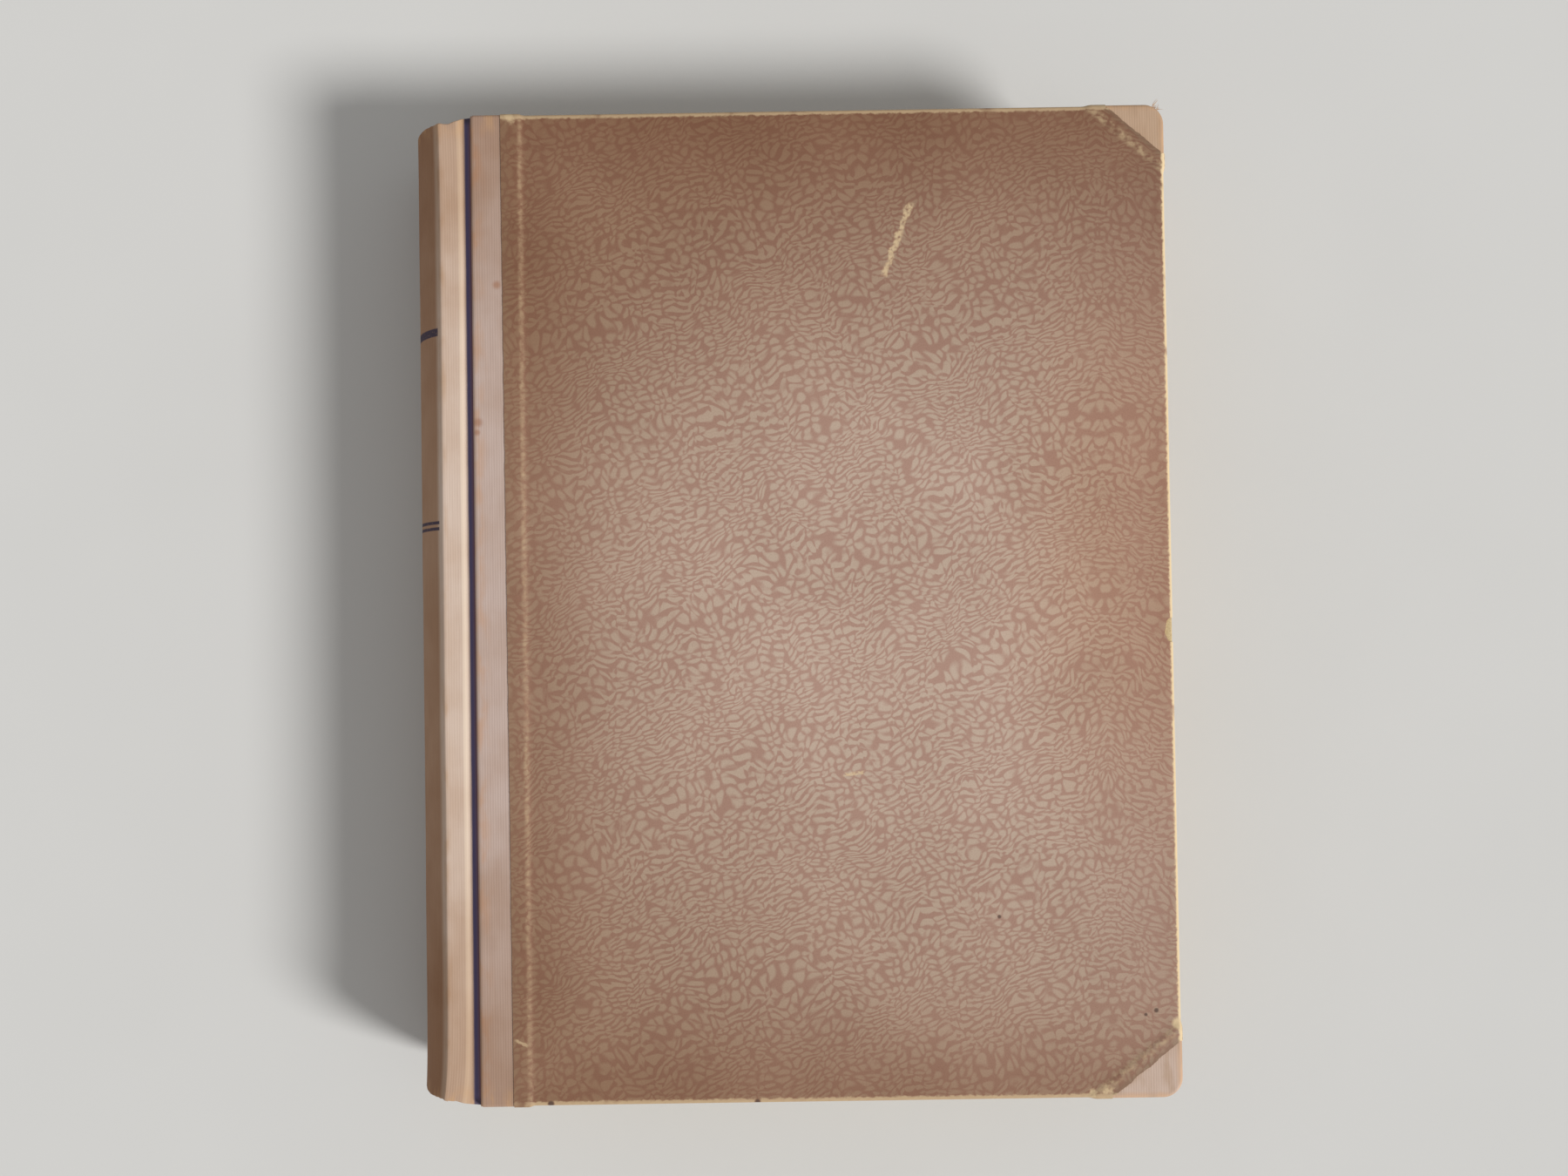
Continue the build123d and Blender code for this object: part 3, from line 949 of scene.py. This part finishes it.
def mottled_paper(name, front):
    """Decorated paper: pale cells in a red-brown network, browned with age, with painted shade away from
    its middle, rubbed pale at its folds.
    """
    paint = Paint(name)
    place = paint.flat()
    x, y, _ = paint.axes(place)
    speck = paint.cloud(place, 0.35, 2)
    patchy = paint.cloud(place, 1.6, 3)
    broad = paint.cloud(place, 40, 2)
    rubbed = paint.cloud(paint.moved(place, 0, 0, 9), 7, 3)
    ground = paint.mix(broad.step(0.3, 0.7), tone(164, 129, 113), tone(173, 139, 123))
    cell = paint.mix(broad.step(0.3, 0.7), tone(182, 160, 141), tone(191, 169, 151))
    inset = (FORE_X - x).least(HEAD_Y - abs(y)).least(x - (JOINT_X + PAPER_EDGE))
    pale = pebbles_and_rods(paint, place, front) * rubbed.step(0.08, 0.4) * (inset.step(0, 34) * 0.3 + 0.7)
    colour = paint.mix(pale, ground, cell)
    colour = paint.mix(speck.step(0.35, 0.75) * 0.12, colour, tone(120, 92, 70), "MULTIPLY")
    colour = aged_and_shaded(paint, colour, x, y, broad)
    # over the hidden cloth edges the paper is grey from handling, and rubbed through along the step
    over_joint = (x - JOINT_X + patchy).step(PAPER_EDGE + 3.4, PAPER_EDGE + 1.0)
    colour = paint.mix(over_joint * 0.15, colour, tone(138, 118, 92))
    worn = near(x + (speck - 0.5) * 0.8, JOINT_X + CLOTH_EDGE + 0.1, 0.15, 0.95)
    worn = worn * patchy.step(0.3, 0.76) * 0.27
    for lap in CORNER_LAPS:
        past = past_line(x, y, lap)
        colour = paint.mix((past + patchy).step(1.9, 3.3) * 0.35, colour, tone(122, 106, 84))
        worn = worn.most(near(past, 0.1, 0.3, 1.6) * patchy.step(0.36, 0.72) * 0.45)
    worn = worn.most(arris_wear(paint, place, x, y, rubbed))
    flecks = paint.cloud(paint.moved(place, 5, 40), 2.2, 4, 0.75)
    worn = worn.most(flecks.step(0.7, 0.76) * 0.5)
    if front:
        worn = front_scuffs(paint, place, x, y, patchy, worn)
    colour = paint.mix(worn, colour, tone(216, 191, 150))
    if front:
        for mark, size in DARK_SPECKS + TAIL_NICKS:
            colour = paint.mix(spot(paint, x, y, mark, size) * 0.8, colour, tone(74, 56, 46))
    height = speck * 0.5 + patchy * 0.3 - worn * 0.5
    return paint.finish(colour, 0.62 + rubbed * 0.16, height, 0.04, 0.35)


def cloth_weave(paint, place):
    """Relief of ribbed book cloth, with the ribs along the spine."""
    x, y, _ = paint.axes(place)
    stray = paint.cloud(paint.scaled(place, 1, 0.06), 0.9, 2)
    rib = ((x + stray * 0.35) * (2 * pi / 0.62)).wave() * 0.5 + 0.5
    thread = ((y + stray * 0.2) * (2 * pi / 0.34)).wave() * 0.5 + 0.5
    return rib, rib * 0.7 + thread * (1 - rib) * 0.3 + stray * 0.4


def hinge_colour(paint, place, colour, streak, broad, dirt):
    """Hinge cloth's soiling, painted shade and highlight beside its groove, the groove's dark line of navy
    ink and painted shade, and plain rules on the back.
    """
    x, y, _ = paint.axes(place)
    start, end = hinge_length(-CLOTH + 0.01, DOWN_EDGE), hinge_length(-1.75, DOWN_EDGE)
    ridge = hinge_length(RIDGE[0], DOWN_EDGE)
    middle, width = (start + end) / 2, end - start
    # painted shade: the cloth on the board is a little darker and bluer than on the slope, which faces the
    # light
    colour = paint.mix(x.step(start + 0.4, start - 0.4), colour, tone(241, 239, 245), "MULTIPLY")
    soiled = x.step(start - 6.5, start - 2.4) * x.step(start - 0.6, start - 1.8) * dirt.step(0.4, 0.7)
    colour = paint.mix(soiled * 0.5, colour, tone(190, 142, 104))
    # painted highlight: a pale stripe on the slope beside the groove's line, where it faces the light
    colour = paint.mix(near(x, end + 1.3, 0.2, 1.0) * 0.5, colour, tone(226, 208, 186))
    on_ridge = near(x, ridge, 0.3, 1.8) * dirt.step(0.4, 0.75)
    colour = paint.mix(on_ridge * 0.5, colour, tone(176, 140, 106))
    # the cloth round the back is darker and browner: guessed browning, and painted shade of the back
    on_back = x.step(ridge + 0.8, ridge + 2.6)
    colour = paint.mix(on_back * 0.8, colour, tone(204, 172, 140), "MULTIPLY")
    # darker and browner towards the head and the tail
    darker_to_ends = (abs(y - 4) + (broad - 0.5) * 30).step(38, 124)
    colour = paint.mix(darker_to_ends, colour, tone(222, 207, 192), "MULTIPLY")
    edge = (SPINE_HALF - abs(y)).step(5, 0) * dirt.step(0.4, 0.65)
    colour = paint.mix(edge * 0.4, colour, tone(192, 150, 106))
    # the groove's dark line: navy ink with painted groove shade, redder on the board's side where the shade
    # falls, and a darker ink tone where it runs over the turned-in ends
    line = near(x + (streak - 0.5) * 0.25, middle, width * 0.36, width * 0.62)
    ink_and_groove_shade = paint.mix(x.step(middle - 0.5, middle + 0.5), tone(118, 90, 102), tone(102, 97, 138))
    ink_and_groove_shade = paint.mix(abs(y).step(SPINE_HALF - 1, SPINE_HALF + 1), ink_and_groove_shade, tone(72, 64, 84))
    colour = paint.mix(line * 0.96, colour, ink_and_groove_shade)
    rules = near(y, WIDE_RULE, 0.85, 1.15)
    for rule in THIN_RULES:
        rules = rules.most(near(y, rule, 0.3, 0.5))
    rules = rules * x.step(ridge + 1.2, ridge + 1.5) * paint.cloud(place, 0.6, 3).step(0.25, 0.42)
    colour = paint.mix(rules * 0.9, colour, tone(50, 46, 70))
    for inset, mark_y, size in RUST_MARKS:
        mark = spot(paint, x, y, (CLOTH_EDGE - inset, mark_y), size, 0.7)
        colour = paint.mix(mark * 0.55, colour, tone(150, 96, 62))
    return colour


def corner_colour(paint, place, colour, dirt):
    """Corner cloth's soiling, browner at the head."""
    x, y, _ = paint.axes(place)
    browned = paint.mix(y.step(-8, 8), tone(249, 245, 244), tone(238, 226, 209))
    colour = paint.mix(1, colour, browned, "MULTIPLY")
    rim = (FORE_X - x).least(HEAD_Y - abs(y))
    colour = paint.mix((rim + dirt * 2).step(2.6, 0.6) * 0.5, colour, tone(196, 150, 104))
    colour = paint.mix(dirt.step(0.4, 0.75) * 0.6, colour, tone(168, 138, 112))
    return paint.mix(spot(paint, x, y, (88.5, 113.8), 0.5) * 0.7, colour, tone(96, 76, 60))


def book_cloth(name, hinge):
    """Cream ribbed cloth of the hinge or of the corners."""
    paint = Paint(name)
    place = paint.flat()
    rib, height = cloth_weave(paint, place)
    streak = paint.cloud(paint.scaled(place, 1, 0.05), 0.5, 2)
    broad = paint.cloud(place, 18, 3)
    dirt = paint.cloud(paint.scaled(place, 1, 0.35), 3, 3)
    colour = paint.mix(rib * 0.3 + streak * 0.7, tone(190, 168, 152), tone(208, 188, 173))
    colour = paint.mix(broad.step(0.35, 0.7) * 0.3, colour, tone(220, 196, 168), "MULTIPLY")
    if hinge:
        colour = hinge_colour(paint, place, colour, streak, broad, dirt)
    else:
        colour = corner_colour(paint, place, colour, dirt)
    return paint.finish(colour, 0.82, height, 0.03, 0.2)


def page_edges():
    """Cut edges of old leaves, in fine uneven streaks."""
    paint = Paint("page_edges")
    place = paint.solid()
    _, y, _ = paint.axes(place)
    streaks = paint.cloud(paint.scaled(place, 0.03, 0.03, 6), 1, 3, 0.6)
    groups = paint.cloud(paint.scaled(place, 0.01, 0.01, 0.7), 1, 2)
    mottle = paint.cloud(place, 9, 4)
    colour = paint.mix(streaks.step(0.3, 0.72), tone(178, 156, 122), tone(228, 213, 184))
    colour = paint.mix(groups.step(0.35, 0.7) * 0.35, colour, tone(190, 168, 132))
    dusty = y.step(LEAF_HALF - 1.2, LEAF_HALF - 0.6)
    colour = paint.mix(dusty * (0.25 + mottle * 0.4), colour, tone(150, 128, 100))
    colour = paint.mix(mottle.step(0.55, 0.75) * 0.25, colour, tone(186, 148, 100))
    return paint.finish(colour, 0.88, streaks, 0.05, 0.15)


def shaded(colour, *shares):
    """Colour with its red, green and blue made darker by a share each."""
    return tuple(part * share for part, share in zip(colour, shares)) + (1,)


def leaf_paper(name, base, spots):
    """Plain old leaf, browner towards its edges, with faint foxing."""
    paint = Paint(name)
    place = paint.flat()
    x, y, _ = paint.axes(place)
    pulp = paint.cloud(place, 0.7, 3)
    broad = paint.cloud(place, 30, 3)
    fox = paint.cloud(paint.moved(place, spots, 0), 6, 4, 0.7)
    edge = (LEAF_HALF - abs(y)).least(BLOCK_FORE - x)
    colour = paint.mix(pulp * 0.5 + broad * 0.5, base, shaded(base, 0.9, 0.9, 0.9))
    colour = paint.mix((edge + broad * 14).step(18, 0) * 0.6, colour, shaded(base, 0.82, 0.74, 0.6))
    colour = paint.mix(fox.step(0.66, 0.74) * 0.4, colour, tone(178, 130, 80))
    return paint.finish(colour, 0.85, pulp, 0.03, 0.2)


def plain_fibre(name, first, second, size, stretch=(1, 1, 1), roughness=0.9):
    """Fibrous core material: board, card, liner or gauze."""
    paint = Paint(name)
    place = paint.scaled(paint.solid(), *stretch)
    fibre = paint.cloud(place, size, 4, 0.65)
    lumps = paint.cloud(place, size * 9, 2)
    colour = paint.mix(fibre.step(0.3, 0.7) * 0.7 + lumps * 0.3, first, second)
    return paint.finish(colour, roughness, fibre, 0.06, 0.15)


def gauze_net():
    """Open sized gauze glued down the back."""
    paint = Paint("gauze")
    _, y, z = paint.axes(paint.solid())
    pitch = 2 * pi / 1.1
    across = (y * pitch).wave() * 0.5 + 0.5
    down = (z * pitch).wave() * 0.5 + 0.5
    threads = across.most(down)
    colour = paint.mix(threads.step(0.5, 0.85), tone(170, 138, 92), tone(222, 208, 178))
    return paint.finish(colour, 0.9, threads, 0.1, 0.15)


def band_thread():
    """Wrapped band thread in pairs of cream and dark stripes."""
    paint = Paint("band_thread")
    place = paint.flat()
    x, _, _ = paint.axes(place)
    stripe = (x / 6).part()
    dark = stripe.step(0.49, 0.5) * stripe.step(0.84, 0.83)
    twist = paint.cloud(paint.scaled(place, 3, 1), 0.4, 2)
    colour = paint.mix(dark, tone(222, 206, 176), tone(70, 62, 84))
    colour = paint.mix(twist.step(0.4, 0.8) * 0.3, colour, tone(150, 124, 92))
    return paint.finish(colour, 0.75, twist, 0.05, 0.25)


def pale_floor():
    """Plain pale studio floor."""
    paint = Paint("floor")
    grain = paint.cloud(paint.solid(), 60, 2)
    colour = paint.mix(grain, tone(205, 204, 201), tone(209, 208, 205))
    return paint.finish(colour, 0.9, None, 0, 0.1)


# The book's pieces

hinge_cloth = book_cloth("hinge_cloth", True)
corner_cloth = book_cloth("corner_cloth", False)
endpaper = leaf_paper("endpaper", tone(228, 212, 180), 70)
board_fibre = plain_fibre("board_fibre", tone(176, 150, 108), tone(210, 188, 146), 0.6)

CAD_MATERIALS = {
    "spine_card": plain_fibre("spine_card", tone(168, 146, 112), tone(196, 174, 136), 0.5, (1, 0.3, 1)),
    "spine_liner": plain_fibre("spine_liner", tone(178, 150, 104), tone(204, 178, 132), 0.4),
    "spine_gauze": gauze_net(),
    "front_board": board_fibre,
    "back_board": board_fibre,
}
for node, material in CAD_MATERIALS.items():
    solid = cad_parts[node]
    solid.data.materials.clear()
    solid.data.materials.append(material)


def place_piece(item, body, slot, *nodes):
    """Makes a piece ride on its body in place of its CAD nodes; its slot is not used."""
    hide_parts(*nodes)
    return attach(item, body)


def bend_piece(item, cover, slot, level, *nodes):
    """Hides the CAD nodes a piece replaces and bakes its place into its mesh; nothing bends."""
    if nodes:
        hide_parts(*nodes)
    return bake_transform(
        item, "pages", cover,
        start=((JOINT_X + FOLD_X) * MM, 0, level * MM), end=((JOINT_X + BEND_END) * MM, 0, level * MM),
    )


leaves = piece("text_block_leaves", *text_block_shape(), page_edges(), closed=True)
place_piece(leaves, "pages", "pages", "text_block")
for side, y_side in (("head", 1), ("tail", -1)):
    band = piece(f"{side}_band_thread", *band_shape(y_side, 3 + y_side), band_thread(), closed=True)
    place_piece(band, "pages", "bands", f"{side}_band")

for seed, side in ((0, "front"), (40, "back")):
    back = side == "back"
    cover = f"{side}_cover"
    level = 2 * MIDDLE - TOP if back else TOP
    chips = [] if back else [FORE_CHIP]
    paper_name = f"{side}_mottled_paper"
    paper = piece(
        paper_name, *side_paper_shape(seed, chips), mottled_paper(paper_name, not back),
        PAPER * SHEET_SHARE, back,
    )
    place_piece(paper, cover, "mottled_paper", f"{side}_side_paper")
    for end, corner, y_side in CORNERS:
        cloth = piece(
            f"{side}_{end}_corner_cloth", *corner_shape(corner, y_side, seed + 7), corner_cloth,
            CLOTH * SHEET_SHARE, back,
        )
        if side == "front" and end == "head":
            joined(cloth, piece("fray", *fray_shape(11), corner_cloth))
        place_piece(cloth, cover, "book_cloth", f"{side}_{end}_corner")
    hinge = piece(f"{side}_hinge_cloth", *hinge_cloth_shape(seed), hinge_cloth, CLOTH * SHEET_SHARE, back)
    replaced = ["back_joint_cloth"] if back else ["spine_cloth", "front_joint_cloth"]
    bend_piece(hinge, cover, "book_cloth", level, *replaced)
    flyleaf = piece(f"{side}_free_leaf", *flyleaf_shape(seed + 1), endpaper, LEAF, back)
    place_piece(flyleaf, "pages", "endpaper", f"{side}_flyleaf")
    pasted = piece(f"{side}_pasted_leaf", *pastedown_shape(seed + 2), endpaper, PASTED_LEAF, back)
    place_piece(pasted, cover, "endpaper", f"{side}_pastedown")
    fold = piece(f"{side}_endpaper_fold", *fold_shape(), endpaper, LEAF, back)
    bend_piece(fold, cover, "endpaper", level)

# Stage, light and camera

# half width and level of the floor, in metres
FLOOR_HALF = 20
FLOOR_LEVEL = -0.0002
floor_corners = [
    (x * FLOOR_HALF, y * FLOOR_HALF, FLOOR_LEVEL) for x, y in ((-1, -1), (1, -1), (1, 1), (-1, 1))
]
floor_mesh = bpy.data.meshes.new("floor")
floor_mesh.from_pydata(floor_corners, [], [(0, 1, 2, 3)])
floor_mesh.materials.append(pale_floor())
floor = bpy.data.objects.new("floor", floor_mesh)
bpy.context.scene.collection.objects.link(floor)

world = bpy.data.worlds.new("studio")
world.use_nodes = True
background = world.node_tree.nodes["Background"]
background.inputs["Color"].default_value = (1, 1, 1, 1)
background.inputs["Strength"].default_value = 0.42
bpy.context.scene.world = world

key = bpy.data.objects.new("key", bpy.data.lights.new("key", "SUN"))
key.data.energy = 3.1
key.data.angle = radians(16)
key.rotation_euler = Vector((-0.98, 0.5, -0.84)).to_track_quat("-Z", "Y").to_euler()
bpy.context.scene.collection.objects.link(key)

camera = bpy.data.objects.new("camera", bpy.data.cameras.new("camera"))
camera.location = (-0.0009, -0.0073, 0.4877)
camera.rotation_euler = (0.0247, 0.0024, -0.01525)
camera.data.lens = 41.57
camera.data.sensor_width = 36
camera.data.clip_start = 0.01
bpy.context.scene.collection.objects.link(camera)
bpy.context.scene.camera = camera
bpy.context.scene.view_settings.view_transform = "Standard"
